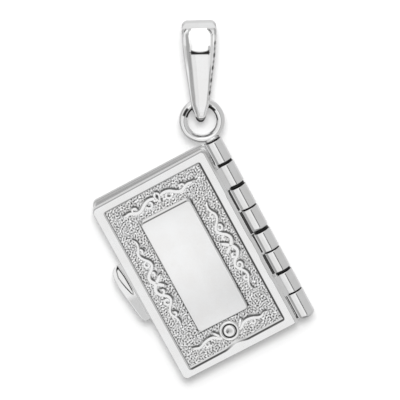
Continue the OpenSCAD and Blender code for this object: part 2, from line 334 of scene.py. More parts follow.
bail = {
    # radius and height of the top, then of the foot
    "outer": (1.8, -1.2, .8, -6.45), "bore": (1.2, -1.2, .36, -5.7),
    # the bore widens round the ring's wire
    "eyeR": 1.43, "eyeHole": 1.07, "eyeLow": .04, "flareZ": (-5.5, -4),
    "halfWidths": [(.6, .88), (.585, .98), (.54, 1.09), (.468, 1.183), (.375, 1.255),
                   (.266, 1.3), (.15, 1.315), (-.74, 1.295), (-1.94, 1.205), (-4.6, .86),
                   (-5.7, .715), (-6.12, .59), (-6.5, .47), (-6.8, .4), (-6.95, .36),
                   (-7.05, .31), (-7.13, .25), (-7.19, .18), (-7.23, .1), (-7.25, .02)],
    # it hangs a touch to the left of the ring's middle, more so at its foot
    "slide": [(-7.25, -.105), (.6, -.045)],
    "rimTopZ": .16, "cornerR": .34, "sunk": .14, "topSunk": .03, "shallowZ": (-.7, .2),
    "crown": .07, "footZ": (-6.85, -6.35), "scoop": .13, "scoopFrom": -1,
    # height, and where the rim ends and its slope ends: left, then right
    "rim": [(-6.4, .12, .3, .13, .22), (-5.2, .12, .42, .15, .25), (-4.3, .15, .46, .16, .27),
            (-3, .24, .54, .17, .33), (-1.25, .29, .61, .2, .44), (-.75, .3, .54, .22, .46),
            (-.25, .29, .49, .22, .46), (.1, .28, .44, .22, .46)],
    # a step across the strap, with a painted dark bar along it
    "stepZ": -1.58, "stepRise": .06, "stepHalf": .7, "stepTall": .17, "stepDeep": .07,
    "stepX": (.61, .86), "barThin": .13, "barThick": .22, "barHalf": .68, "barX": .055,
    "barDrop": .07, "barSoft": (.7, 1.2),
    # painted shade arcs in the top corners, left and right: distance from the edge, middle's
    # height, radius
    "arcs": ((.2, -.08, .2), (.38, -.2, .28)), "arcWide": .05, "arcShade": .3,
    # how much shade is painted on the rim and its inner wall, left and right, and where the rim's
    # painted shade ends
    "rimShade": (.3, .12), "rimShadeZ": (-3, -1.7, -.1, 0), "wallShade": (.33, .198),
    # painted shade under the rim and on the foot, and below a circle round the tip
    "underShade": .15, "footShade": .3, "tip": (.03, -6.68), "tipR": .28,
    # broken painted dark line along the right edge: distance from the edge, width, heights
    "edgeLine": (.11, .06), "edgeLineZ": (-5.6, -5, -1, -.5),
    "boreShade": (.4, .85), "boreEdge": .08, "edgeR": .15, "around": 340, "across": 60,
}


def teardropLine(topR, topZ, footR, footZ):
    # closed line in Y and Z round two circles, from the foot up the back (-Y) and down the front
    lean, quarter = math.asin((topR - footR) / (topZ - footZ)), math.pi / 2
    straight = math.hypot(topR - footR, topZ - footZ) * math.cos(lean)
    foot, top, up, down = (footR, footZ), (topR, topZ), lean - 2 * quarter, -lean - 4 * quarter
    stops = [(*foot, -quarter), (*foot, up), (*top, up), (*top, down), (*foot, down),
             (*foot, -5 * quarter)]
    lengths = [0, footR * (quarter - lean), straight, topR * 2 * (quarter + lean), straight,
               footR * (quarter - lean)]
    ends = np.cumsum(lengths)
    at = np.arange(bail["around"]) * ends[-1] / bail["around"]
    r, z, a = (np.interp(at, ends, column) for column in np.array(stops).T)
    return np.stack([r * np.cos(a), z + r * np.sin(a)], 1)


def strapAt(x, z, w):
    # how deep the back strap lies at a point, and how much shade is painted on it
    side, fromEdge = int(x >= 0), w - abs(x)
    rimIn, rimFoot = (along(bail["rim"], z, 2 * side + n) for n in (1, 2))
    cornerR, barHalf = bail["cornerR"], bail["barHalf"]
    beyond = min(cornerR, max(0, abs(x) - (w - rimFoot - cornerR)))
    topEdge = bail["rimTopZ"] - cornerR + math.sqrt(cornerR ** 2 - beyond ** 2)
    sideIn, topIn = ease(fromEdge, rimIn, rimFoot), fade(z, topEdge - 0.04, topEdge)
    aboveFoot, high = ease(z, *bail["footZ"]), ease(z, *bail["shallowZ"])
    fromBar = abs(x - bail["barX"])
    stepZ = bail["stepZ"] + bail["stepRise"] * (fromBar / bail["stepHalf"]) ** 2
    below = fade(z, stepZ - bail["stepTall"], stepZ)
    scoop = min(1, max(0, (bail["scoopFrom"] - z) / (bail["scoopFrom"] - stepZ)))
    step = bail["stepDeep"] * below - bail["scoop"] * scoop * (1 - below)
    crown = bail["crown"] * (1 - min(1, max(0, -x) / max(w - rimFoot, 0.1)) ** 2)
    deep = bail["sunk"] * (1 - high) + bail["topSunk"] * high - crown * (1 - high)
    deep += step * fade(abs(x), *bail["stepX"])

    # painted shade under the rim, down its wall, in the top corners, along the step and under the
    # tip
    under = bail["underShade"] * softLine(fromEdge - rimFoot + 0.02, 0.045) * topIn
    wall = between(fromEdge, rimIn, rimIn + 0.06, rimFoot - 0.08, rimFoot + 0.02)
    wall = wall * bail["wallShade"][side] * fade(z, -0.05, 0.05)
    onRim = between(fromEdge, 0.08, 0.16, rimIn, rimIn + 0.06) * between(z, *bail["rimShadeZ"])
    arcIn, arcZ, arcR = bail["arcs"][side]
    out, up = arcIn + arcR - fromEdge, z - arcZ
    fromArc = math.hypot(out, up) - arcR
    corner = softLine(fromArc, bail["arcWide"]) * ease(out, 0, 0.12)
    corner = corner * ease(up, -0.05, 0.05)
    outside = ease(fromArc, 0, 0.04) * ease(out, -0.05, 0.05)
    outside = outside * ease(up, -0.15, 0) * fade(z, 0.1, 0.16)
    foot = 4 * aboveFoot * (1 - aboveFoot) * bail["footShade"] * sideIn
    tall = bail["barThin"] + (bail["barThick"] - bail["barThin"]) * (fromBar / barHalf) ** 2
    bar = fade(abs(stepZ - bail["barDrop"] - z), *(tall * n for n in bail["barSoft"]))
    bar = bar * fade(fromBar, barHalf - 0.01, barHalf + 0.03)
    dash = 0.7 + 0.75 * math.sin(9.5 * z) * math.sin(3.1 * z + 1)
    edgeAt, edgeWide = bail["edgeLine"]
    edge = dash * softLine(fromEdge - edgeAt, edgeWide) * between(z, *bail["edgeLineZ"])
    tipX, tipZ = bail["tip"]
    fromTip = math.hypot(x - tipX, z - tipZ) / bail["tipR"]
    tip = ease(fromTip, 1, 1.2) * fade(z, tipZ - 0.1, tipZ + 0.02)
    dark = max(under, wall, foot, corner, bar, edge * ease(x, 0.2, 0.4), tip,
               onRim * bail["rimShade"][side], outside * bail["arcShade"])
    return deep * sideIn * topIn * aboveFoot, min(dark, 1)


def makeBail():
    outer, inner = teardropLine(*bail["outer"]), teardropLine(*bail["bore"])
    ahead = np.roll(outer, -1, 0) - np.roll(outer, 1, 0)
    outward = np.stack([-ahead[:, 1], ahead[:, 0]], 1) / np.linalg.norm(ahead, axis=1)[:, None]
    loops, paintedShades = [], []
    for (y, z), (ny, nz), (yi, zi) in zip(outer, outward, inner):
        w, slide = along(bail["halfWidths"], z), along(bail["slide"], z)
        section, paintedShade = [], []
        for x in np.linspace(-w, w, bail["across"] + 1):  # outer face, with rounded edges
            drop, dark = strapAt(x, z, w) if y < 0 else (0, 0)
            drop += edgeDrop(w - abs(x), min(bail["edgeR"], w * 0.45))
            paintedShade.append(dark)
            section.append((x + slide, y - ny * drop, z - nz * drop))
        w, slide = along(bail["halfWidths"], zi) - 0.01, along(bail["slide"], zi)
        low = fade(zi, *bail["flareZ"])
        eyeZ, boreFootR = bail["bore"][3], bail["bore"][2]
        far = max(math.hypot(yi, zi - eyeZ), 1e-6)
        for x in np.linspace(w, -w, bail["across"] // 2 + 1):  # inner face, back across
            opening = math.sqrt(max(bail["eyeHole"] ** 2 - (x + slide) ** 2, bail["eyeLow"]))
            flare = (bail["eyeR"] - opening - boreFootR) * low
            flare += max(0, bail["boreEdge"] - (w - abs(x)))
            # painted shade inside the bore, less near its edges
            paintedShade.append(bail["boreShade"][int(abs(x) < w - 0.1)])
            section.append((x + slide, yi + yi / far * flare, zi + (zi - eyeZ) / far * flare))
        loops.append(section)
        paintedShades.append(paintedShade)
    shape = Shape().addLoops(loops, paintedShades, closeRows=True)
    piece = shape.make("bail_loop", "bail", "bail_metal", "bailMetal", inBook=False)
    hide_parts("bail")


makeBail()
print("bail: made")

# Hinge: knuckles from the top down, with the leaf that owns each
hinge = {
    "barrelR": .68, "pinHole": .37, "endR": .07,
    # owner, top, bottom, radius of the lower end
    "knuckles": [("front_cover", -1.78, -3.58, .07), ("back_cover", -3.78, -5.56, .07),
                 ("page_1", -5.82, -7.61, .07), ("page_2", -7.71, -9.61, .28),
                 ("page_1", -9.78, -11.4, .07), ("page_2", -11.49, -13.22, .07),
                 ("back_cover", -13.42, -15.14, .07), ("front_cover", -15.23, -17.48, .3)],
    "coverTab": [(-1, -1.15), (-1, -.72), (-.82, -.72), (-.45, -.35), (-.2, -.3), (-.37, -.57)],
    "tabShort": .01, "tabBevel": .03, "tabRows": 6,
    # painted shade on the far tab's inner side, but not at the top
    "tabInner": (-.93, .64), "darkZ": (-3, -2.4),
}

# Ring, and the pin soldered under it

ring = {
    "radius": 1.43, "wireR": .32, "around": 180, "round": 48,
    "pinR": .35, "collarR": .61, "play": .015, "pinSteps": 48,
    # radius, height and painted shade of the pin's lower end, and of the solder at its top
    "pinEnd": [(.001, -17, 1), (.27, -17, 1), (.33, -16.97, 1), (.35, -16.91, 1)],
    "solder": [(.35, -1.75, 1), (.57, -1.74, 1), (.6, -1.7, 1), (.5, -1.62, 0), (.001, -1.5, 0)],
    # painted dark reflections and shade on the wire: direction on the ring, half its spread, first
    # and last angle round the wire, darkness
    "paintedDarks": [(54, 17, 170, 258, 1), (24, 24, 170, 228, 1), (-25, 38, 176, 208, .9),
              (151, 15, 256, 290, 1), (145, 25, 170, 242, 1), (65, 8, 262, 272, .9),
              (-88, 46, 230, 240, .7), (205, 30, 184, 200, .6)],
}


def makeRing():
    loops, paintedShade = [], []
    section, sideways = circle(ring["wireR"], ring["round"])
    turned = np.arange(ring["round"]) * 360 / ring["round"]
    for angle in np.arange(ring["around"]) * 360 / ring["around"]:
        a, r = math.radians(angle), ring["radius"] + section
        loops.append(np.stack([r * math.cos(a), sideways, r * math.sin(a)], 1))
        # painted dark reflections and shade, set by direction round the ring and angle round the
        # wire
        shade = np.zeros(ring["round"])
        for turn, half, first, last, depth in ring["paintedDarks"]:
            away = abs((angle + book["leanSeen"] - turn + 180) % 360 - 180)
            across = between(turned, first - 8, first + 4, last - 4, last + 8)
            shade = np.maximum(shade, depth * across * fade(away, half * 0.75, half))
        paintedShade.append(shade)
    shape = Shape().addLoops(loops, paintedShade, closeRows=True)
    # the pin is stepped where it shows between two knuckles, and painted black there as shade in
    # the gaps
    pin, collar, collars = ring["pinR"], ring["collarR"], []
    for above, below in list(zip(hinge["knuckles"], hinge["knuckles"][1:]))[::-1]:
        low, high = below[1] + ring["play"], above[2] - ring["play"]
        collars += [(pin, low, 1), (collar, low, 1), (collar, high, 1), (pin, high, 1)]
    shape.addTurned(ring["pinEnd"] + collars + ring["solder"], ring["pinSteps"])
    piece = shape.make("ring_and_pin_turned", "front_cover", "ring_metal", "ringMetal")
    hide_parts("ring_and_pin")


makeRing()
print("ring: made")

# Covers: bevelled plate, stippled field, panel, scrolls and boss, the same on both

cover = {
    # inset and depth of the plate's edge, the same on the side of the hinge, then painted shade at
    # the top, on the near and on the far cover
    "edge": [(.22, .75, .22, .75, 0, 0), (.18, .75, .18, .75, 0, .55),
             (.1, .75, .1, .75, 0, .55), (.03, .73, .03, .73, 0, .55), (0, .68, 0, .68, 0, .2),
             (0, .08, 0, .22, 0, .2), (.006, .05, .01, .18, 0, .2),
             (.023, .023, .05, .125, .3, .3), (.05, .006, .15, .02, .8, .8),
             (.09, 0, .2, 0, .5, .5), (.13, 0, .24, 0, 0, .2)],
    "topTilt": (.016, .005),
    # how far the side by the pages' knuckles is drawn in, and how much shade is painted on the
    # bevel over it
    "spineDip": [(-13.3, 0), (-13.2, .045), (-11.5, .045), (-11.4, 0), (-9.8, 0), (-9.6, .045),
                 (-5.9, .045), (-5.7, 0)],
    "bevelShade": [(-3.9, 0), (-3.5, .5), (-2.3, .5), (-1.9, .2)], "bevelRows": (6, 8),
    "bevelWide": .15,
    "field": (-9.84, -1.64, -16.56, -2.58), "fieldR": .04, "fieldDeep": .22,
    # how far the field's edges climb towards the hinge, as the cast one does: lower, upper
    "fieldTilt": (.0184, .009), "tiltMiddle": (-8.3, -4),
    # slope from the rim to the field: growth at the top, left, bottom, right, depth, painted shade
    "slope": [((.1, .13, .2, .15), 0, (0, 0, 0, 0)),
              ((.065, .1, .15, .1), .012, (.1, 0, .8, .2)),
              ((.05, .07, .12, .08), .04, (.25, .05, 1, .9)),
              ((.025, .05, .05, .04), .09, (.4, .1, 1, 1)),
              ((0, .02, .01, 0), .15, (.5, .55, .1, 1)),
              ((-.02, 0, -.03, -.03), .19, (.5, .85, 0, .8)),
              ((-.045, -.02, -.07, -.07), .205, (.2, .6, .1, .2)),
              ((-.08, -.04, -.12, -.13), .28, (.2, .3, .3, .2))],
    "rimBulge": .17, "bulgeWide": 1.1, "bulgeClear": .85,
    "panelCentre": (-5.705, -9.49), "panelSize": (4.31, 9.88), "panelR": .34,
    # how wide the panel's slope is at the top, left, bottom and right
    "panelSlope": (.15, .06, .07, .12), "panelCrown": .02, "panelRings": 12,
    # share of that width, depth, painted shade at the top, left, bottom, right
    "panelRows": [(-.6, .3, (.4, 1, 1, 1)), (-.4, .2, (.3, .9, .9, 1)),
                  (0, .17, (.2, .9, .9, 1)), (.2, .12, (0, .5, .4, .6)),
                  (.5, .06, (0, .1, .1, .15)), (.8, .018, (.4, 0, 0, .05)),
                  (1, 0, (1, 0, 0, 0)), (1.3, 0, (.9, 0, 0, 0)), (1.7, 0, (0, 0, 0, 0))],
    # painted shade, a slight fall of the panel's tone towards its ends and its right side: place
    # from its middle as a share, darkness
    "panelTall": [(-1, .1), (-.9, .12), (-.75, .145), (-.6, .14), (-.3, .08), (0, .02),
                  (.2, 0), (.6, 0), (.78, .015), (.9, .05), (1, .09)],
    "panelWide": [(-1, .02), (-.8, 0), (0, 0), (.3, .025), (1, .045)],
    "bossCentre": (-5.76, -15.37), "scrollHigh": .19,
    "curlShare": .96,  # height of a curl beside a vine, so the two don't meet in one plane
    # spacing of the field's points; size, spread and height of its grain; its mean painted shade
    # and swing
    "grain": .05, "grainSize": .205, "grainSpread": .4, "grainHigh": .02,
    "grainMean": .14, "grainDark": .62, "spots": (.65, .35), "under": (.06, .2),
    # the grain's painted shade is quieter beside a scroll: by how much, how far out
    "calm": (.5, .16), "moatDeep": .02, "scrollFoot": .1, "panelTopFade": .6,
    # painted shadow lines in the field: distance from the form beside it, width
    "moatLine": (.03, .05), "scrollLine": (.05, .085), "panelLine": (.04, .05),
    "bossLine": (.02, .05),
}
fieldY = cover["fieldDeep"] - book["halfThick"]


def coverPiece(shape, body, part, metalName, mirrorY, closed=True):
    piece = shape.make(f"{body}_{part}", body, "cover_metal", metalName, mirrorY, closed=closed)
    piece.visible_glossy = False  # the barrels mirror the soft tent past the covers
    return piece


def coverLoop(inset, depth, hingeInset, hingeDepth, far):
    r = max(book["cornerR"] - inset, 0.05)
    xHigh = book["spineX"] - hingeInset
    loop = roundedLoop(book["foreX"] + inset, xHigh, book["bottom"] + inset, book["top"] - inset,
                       [r, r, r, max(book["lowerHingeR"] - inset, 0.04)], 0)
    # the bevel is wider on the side of the hinge and runs out at its corners
    middle, tilt = (book["bottom"] + book["top"]) / 2, cover["topTilt"][far]
    made = []
    for x, _, z in loop:
        atHinge = ease(x, xHigh - r, xHigh)
        dip = along(cover["spineDip"], z) * ease(x, xHigh - 0.1, xHigh)
        made.append((x - dip, depth + (hingeDepth - depth) * atHinge - book["halfThick"],
                     z + tilt * (x - xHigh) * (z > middle)))
    return made


def fieldBulge(x):
    t = min(abs(x - cover["bossCentre"][0]) / cover["bulgeWide"], 1)
    return cover["rimBulge"] * (1 + math.cos(math.pi * t)) / 2


def fieldLoop(grow, y):
    xLow, xHigh, zLow, zHigh = cover["field"]
    top, left, bottom, right = grow
    loop = roundedLoop(xLow - left, xHigh + right, zLow - bottom, zHigh + top,
                       max(cover["fieldR"] + bottom, 0.04), y, bottomBulge=fieldBulge)
    made = []
    for x, y, z in loop:
        upper = int(z > (zLow + zHigh) / 2)
        tilt, still = cover["fieldTilt"][upper], cover["tiltMiddle"][upper]
        made.append((x, y, z + tilt * (x - still)))
    return made


def makePlate(body, mirrorY):
    loops = [coverLoop(*row[:4], mirrorY) for row in cover["edge"]]
    paintedShade = [sideValues(row[4 + mirrorY], 0, 0, 0) for row in cover["edge"]]
    # painted shade on the bevel by the hinge
    for n in range(*cover["bevelRows"]):
        for k, (x, _, z) in enumerate(loops[n]):
            if x > book["spineX"] - cover["bevelWide"]:
                paintedShade[n][k] = max(paintedShade[n][k], along(cover["bevelShade"], z))
    middle = (cover["field"][2] + cover["field"][3]) / 2
    for grow, depth, shades in cover["slope"]:
        loops.append(fieldLoop(grow, depth - book["halfThick"]))
        # the painted dark line under the field fades where the rim swells
        fade = cover["bulgeClear"] / cover["rimBulge"]
        paintedShade.append([value * (1 - fade * fieldBulge(x) * (z < middle))
                       for value, (x, _, z) in zip(sideValues(*shades), loops[-1])])
    return coverPiece(Shape().addLoops(loops, paintedShade), body, "plate", "rimMetal", mirrorY)


def grainField(rows, columns, seed):
    # worm-like cast grain: noise kept to one size of wave
    rng = np.random.default_rng(seed)
    wave = np.fft.fft2(rng.standard_normal((rows, columns)))
    fz = np.fft.fftfreq(rows, cover["grain"])[:, None]
    fx = np.fft.fftfreq(columns, cover["grain"])[None, :]
    centre = 1 / cover["grainSize"]
    keep = softLine(np.sqrt(fx * fx + fz * fz) - centre, cover["grainSpread"] * centre)
    height = np.real(np.fft.ifft2(wave * keep))
    return height / height.std()


def makeField(body, mirrorY, seed):
    def line(away, name):
        at, wide = cover[name]
        return softLine(away - at, wide)
    xLow, xHigh, zLow, zHigh = cover["field"]
    g, (beyond, underPanel) = cover["grain"], cover["under"]
    xs = np.arange(xLow - beyond, xHigh + beyond + g, g)
    zs = np.arange(zLow - beyond, zHigh + beyond + g, g)
    x, z = np.meshgrid(xs, zs)
    grain, paintedSpecks = (grainField(len(zs), len(xs), seed + n) for n in (0, 1))
    near, facing = strokeDistance(x, z)
    y = fieldY - np.tanh(grain) * cover["grainHigh"] + cover["moatDeep"] * line(near, "moatLine")
    (cx, cz), (width, height) = cover["panelCentre"], cover["panelSize"]
    away = np.maximum(np.abs(x - cx) - width / 2, np.abs(z - cz) - height / 2)
    bossX, bossZ = cover["bossCentre"]
    fromBoss = np.hypot(x - bossX, z - bossZ) - boss["profile"][0][0]
    # painted shade: random dark specks in the stippled grain, quieter beside a scroll and light
    # under the ribs
    mean, swing = cover["spots"]
    spots = np.clip(mean + swing * paintedSpecks, 0.1, 1)
    calm, calmWide = cover["calm"]
    calm = 1 - calm * softLine(near, calmWide)
    paintedShade = cover["grainMean"] + cover["grainDark"] * paintedSpecks * calm
    paintedShade = np.where(near < 0, cover["scrollFoot"], paintedShade)
    # painted shade: the small dark dot inside the top scroll, then the dark lines beside scrolls,
    # panel and boss
    u, v, r, tall = scroll["pupil"]
    topX, topZ = scroll["places"]["top"][0]
    pupil = np.exp(-(np.hypot(x - topX - u, (z - topZ - v) / tall) / r) ** 4)
    over = 1 - cover["panelTopFade"] * (z > cz + height / 2)
    for shade in (pupil, line(near, "scrollLine") * facing, spots * line(fromBoss, "bossLine"),
                  over * (0.3 + spots) * line(away, "panelLine")):
        paintedShade = np.maximum(paintedShade, shade)
    paintedShade, keep = np.clip(paintedShade, 0, 1).reshape(-1), (away > -underPanel).reshape(-1)
    faces = [face for face in gridFaces(len(zs), len(xs)) if keep[face].any()]
    used = sorted({k for face in faces for k in face})
    where = {k: n for n, k in enumerate(used)}
    points = np.stack([x, y, z], -1).reshape(-1, 3)[used]
    shape = Shape().add(points, [[where[k] for k in face] for face in faces], paintedShade[used])
    coverPiece(shape, body, "field", "fieldMetal", mirrorY, closed=False)


def makePanel(body, mirrorY):
    lip = cover["panelCrown"] - book["halfThick"]
    cx, cz = cover["panelCentre"]
    width, height = cover["panelSize"]
    loops, paintedShade = [], []
    for share, depth, dark in cover["panelRows"]:
        top, left, bottom, right = (wide * share for wide in cover["panelSlope"])
        loops.append(roundedLoop(cx - width / 2 + left, cx + width / 2 - right,
                                 cz - height / 2 + bottom, cz + height / 2 - top,
                                 max(cover["panelR"] - 0.1 * share, 0.04), lip + depth))
        paintedShade.append(sideValues(*dark))
    # painted shade over the panel's face
    def shades(loop):
        return [along(cover["panelTall"], 2 * (z - cz) / height)
                + along(cover["panelWide"], 2 * (x - cx) / width) for x, _, z in loop]
    edge = loops[-1]
    paintedShade[-1] = shades(edge)
    for t in np.linspace(0.95, 0.05, cover["panelRings"]):
        drop = lip - cover["panelCrown"] * (1 - t * t) * 0.95
        loops.append([(cx + (x - cx) * t, drop, cz + (z - cz) * t) for x, _, z in edge])
        paintedShade.append(shades(loops[-1]))
    shape = Shape().addLoops(loops, paintedShade, capStart=False)
    coverPiece(shape, body, "panel", "panelMetal", mirrorY)


boss = {
    "steps": 72,
    # radius, height over the field's floor and painted shade, from the outside in
    "profile": [(.8, -.05, 1), (.795, .06, .6), (.785, .15, .1), (.765, .2, 0),
                (.73, .218, 0), (.64, .218, 0), (.6, .2, 0), (.58, .16, .4),
                (.57, .08, 1), (.555, .03, 1), (.515, .02, 1), (.475, .03, 1),
                (.465, .08, 1), (.455, .16, .3), (.43, .195, 0), (.4, .205, 0),
                (.3, .208, 0), (.24, .2, .15), (.12, .18, .4), (.001, .175, .45)],
}


def makeBoss(body, mirrorY):
    (cx, cz), loops = cover["bossCentre"], []
    for radius, height, _ in boss["profile"]:
        u, v = circle(radius, boss["steps"])
        loops.append(np.stack([cx + u, np.full(len(u), fieldY - height), cz + v], 1))
    shape = Shape().addLoops(loops, [row[2] for row in boss["profile"]])
    coverPiece(shape, body, "boss", "scrollMetal", mirrorY)


# Scrolls: rows are along, across (away from the panel) and half width, from the middle out
scroll = {
    "sideVine": [(0, .01, .16), (.31, .23, .14), (.6, .28, .13), (.91, .11, .12),
                 (1.11, -.15, .12), (1.34, -.36, .12), (1.6, -.42, .11), (1.88, -.29, .11),
                 (2.14, -.07, .1), (2.44, .09, .1), (2.74, .09, .1), (3.01, -.06, .09),
                 (3.31, -.18, .08), (3.6, -.17, .06), (3.84, -.06, .03)],
    "sideLeaf": [(.06, -.06, .12), (.22, -.28, .14), (.37, -.47, .11), (.5, -.62, .04)],
    "endVine": [(.24, .04, .11), (.5, .14, .12), (.8, .14, .12), (1.1, .02, .13),
                (1.38, -.18, .13), (1.66, -.32, .13), (1.96, -.34, .13), (2.22, -.22, .12),
                (2.52, -.11, .11), (2.8, -.14, .1), (3.04, -.1, .05)],
    "bossVine": [(.72, .16, .1), (1, .05, .12), (1.2, -.12, .12), (1.4, -.23, .12),
                 (1.73, -.26, .12), (2.1, -.19, .11), (2.4, -.05, .11), (2.7, 0, .1),
                 (3, -.12, .08), (3.18, -.18, .04)],
    "eyeSide": [(0, .42, .06), (.15, .27, .08), (.18, .06, .08), (.08, -.15, .07),
                (.03, -.4, .07)],
    "bossLeaf": [(.8, -.02, .07), (.98, -.22, .1), (1.14, -.44, .07), (1.22, -.54, .03)],
    # centre along and across, radius first and last, angle first and last, half width
    "sideCurls": [(.74, -.14, .2, .08, 20, -190, .1), (1.63, -.11, .28, .11, -25, 300, .09),
                  (2.74, -.13, .22, .08, 15, -190, .09)],
    "endCurls": [(.81, -.19, .32, .12, -10, -270, .09), (2.01, -.08, .24, .11, -30, 200, .08)],
    "bossCurls": [(1.97, .07, .23, .1, -100, 200, .08)],
    # centre, the ways along and across, strokes, curls
    "places": {
        "left": ((-8.99, -9.42), (0, 1), (-1, 0), ("sideVine", "sideLeaf"), "sideCurls"),
        "right": ((-2.5, -9.42), (0, -1), (1, 0), ("sideVine", "sideLeaf"), "sideCurls"),
        "top": ((-5.68, -3.49), (1, 0), (0, 1), ("endVine", "eyeSide"), "endCurls"),
        "bottom": ((-5.76, -15.48), (1, 0), (0, -1), ("bossVine", "bossLeaf"), "bossCurls"),
    },
    "strokeSteps": 4, "curlSteps": 18, "foot": .08,
    # each end is drawn to a point: its half width and height, and the half width of full height
    "point": (.004, .02), "fullHalf": .085,
    # small painted shadow dot: centre along and across in the top scroll, radius, how much taller
    # than wide
    "pupil": (0, .13, .09, 1.7),
    # painted shade only on flanks that face up or to the right: the way, where a flank starts,
    # soft limit
    "lit": (.71, .71), "flank": (.88, .97), "facing": (0, .6),
    # half of a rib's section: share of the half width, share of the height
    "section": [(1, 0), (.99, .5), (.97, .85), (.93, .96), (.86, .99), (.45, 1)],
    "ballR": .11, "ballSteps": 24, "ballPaintedShade": [1, .6, .2, 0, 0, 0, 0, 0], "reach": .4,
}


def smoothRows(rows, steps):
    rows = np.array(rows, float)
    last = len(rows) - 1
    made = []
    for i in range(last):
        a, b, c, d = rows[max(i - 1, 0)], rows[i], rows[i + 1], rows[min(i + 2, last)]
        for k in range(steps):
            t = k / steps
            made.append(0.5 * (2 * b + (c - a) * t + (2 * a - 5 * b + 4 * c - d) * t * t
                               + (3 * b - a - 3 * c + d) * t ** 3))
    return np.array(made + [rows[last]])


def curlRows(u, v, r1, r2, a1, a2, w):
    t = np.linspace(0, 1, scroll["curlSteps"])
    r, a = r1 + (r2 - r1) * t, np.radians(a1 + (a2 - a1) * t)
    return np.stack([u + r * np.cos(a), v + r * np.sin(a), np.full(len(t), w)], 1)


def addStroke(shape, rows, toPlate, high):
    # a rounded rib along the rows, its ends drawn to a point
    way = np.gradient(rows[:, :2], axis=0)
    way /= np.maximum(np.linalg.norm(way, axis=1), 1e-9)[:, None]
    side = np.stack([-way[:, 1], way[:, 0]], 1)
    start = rows[0, :2] - way[0] * rows[0, 2]
    end = rows[-1, :2] + way[-1] * rows[-1, 2]
    centres = np.concatenate([[start], rows[:, :2], [end]])
    sides = np.concatenate([[side[0]], side, [side[-1]]])
    pointHalf, pointHigh = scroll["point"]
    halves = np.concatenate([[pointHalf], rows[:, 2], [pointHalf]])
    tall = high * np.clip(halves / scroll["fullHalf"], 0.12, 1) ** 0.5
    tall[0] = tall[-1] = pointHigh
    section = [(-u, rise) for u, rise in scroll["section"]] + scroll["section"][::-1]
    loops, paintedShade = [], []
    for centre, across, half, top in zip(centres, sides, halves, tall):
        rib = [(u, fieldY - top * rise) for u, rise in section]
        foot = [(u, fieldY + scroll["foot"]) for u in (1, -1)]
        loops.append([toPlate(*(centre + across * half * u), y) for u, y in rib + foot])
        # painted shade on the flanks that face up or to the right, and at the foot
        near, far = (np.array(toPlate(*at, 0))[[0, 2]] for at in (centre, centre + across))
        turn = (far - near) @ np.array(scroll["lit"])
        shade = []
        for u, _ in section:
            facing = ease(math.copysign(1, u) * turn, *scroll["facing"])
            shade.append(ease(abs(u), *scroll["flank"]) * (0.1 + 0.9 * facing))
        paintedShade.append(shade + [1, 1])
    shape.addLoops(loops, paintedShade)


def addBall(shape, at, toPlate):
    def level(radius, y):
        rim = zip(*circle(radius, scroll["ballSteps"]))
        return [toPlate(at[0] + u, at[1] + v, y) for u, v in rim]
    loops = [level(scroll["ballR"], fieldY + scroll["foot"])]
    for b in np.radians(np.arange(0, 91, 15)):
        loops.append(level(max(scroll["ballR"] * math.cos(b), 0.002),
                           fieldY - cover["scrollHigh"] * math.sin(b)))
    # painted shade round the ball's foot
    shape.addLoops(loops, scroll["ballPaintedShade"])


def allStrokes():
    # rows, how they are placed on the cover, and whether they end in a ball
    made = []
    for (cx, cz), (ux, uz), (vx, vz), strokes, curls in scroll["places"].values():
        for way in (1, -1):  # the second half mirrors the first
            def toPlate(u, v, y, c=(cx, cz), a=(ux * way, uz * way), b=(vx, vz)):
                return c[0] + a[0] * u + b[0] * v, y, c[1] + a[1] * u + b[1] * v
            made += [(smoothRows(scroll[name], scroll["strokeSteps"]), toPlate, False)
                     for name in strokes]
            made += [(curlRows(*row), toPlate, True) for row in scroll[curls]]
    return made


def strokeDistance(x, z):
    # how far each point of the field is outside the nearest rib, and how far it faces up or right
    near = np.full(x.shape, 9.0)
    facing = np.zeros(x.shape)
    (litX, litZ), reach = scroll["lit"], scroll["reach"]
    for rows, toPlate, ball in allStrokes():
        balls = [(*rows[-1, :2], scroll["ballR"])] if ball else []
        for u, v, w in [*rows, *balls]:
            px, _, pz = toPlate(u, v, 0)
            i = np.searchsorted(x[0], [px - reach, px + reach])
            j = np.searchsorted(z[:, 0], [pz - reach, pz + reach])
            part = (slice(*j), slice(*i))
            dx, dz = x[part] - px, z[part] - pz
            far = np.maximum(np.hypot(dx, dz), 1e-6)
            closer = far - w < near[part]
            near[part] = np.where(closer, far - w, near[part])
            facing[part] = np.where(closer, (dx * litX + dz * litZ) / far, facing[part])
    return near, ease(facing, *scroll["facing"])


def makeScrolls(body, mirrorY):
    shape = Shape()
    for rows, toPlate, ball in allStrokes():
        addStroke(shape, rows, toPlate, cover["scrollHigh"] * (cover["curlShare"] if ball else 1))
        if ball:
            addBall(shape, rows[-1, :2], toPlate)
    coverPiece(shape, body, "scrolls", "scrollMetal", mirrorY)


def arcRows(cx, cz, r, first, last, steps=4):
    a = np.radians(np.linspace(first, last, steps + 1))
    return list(zip(cx + r * np.cos(a), cz + r * np.sin(a)))


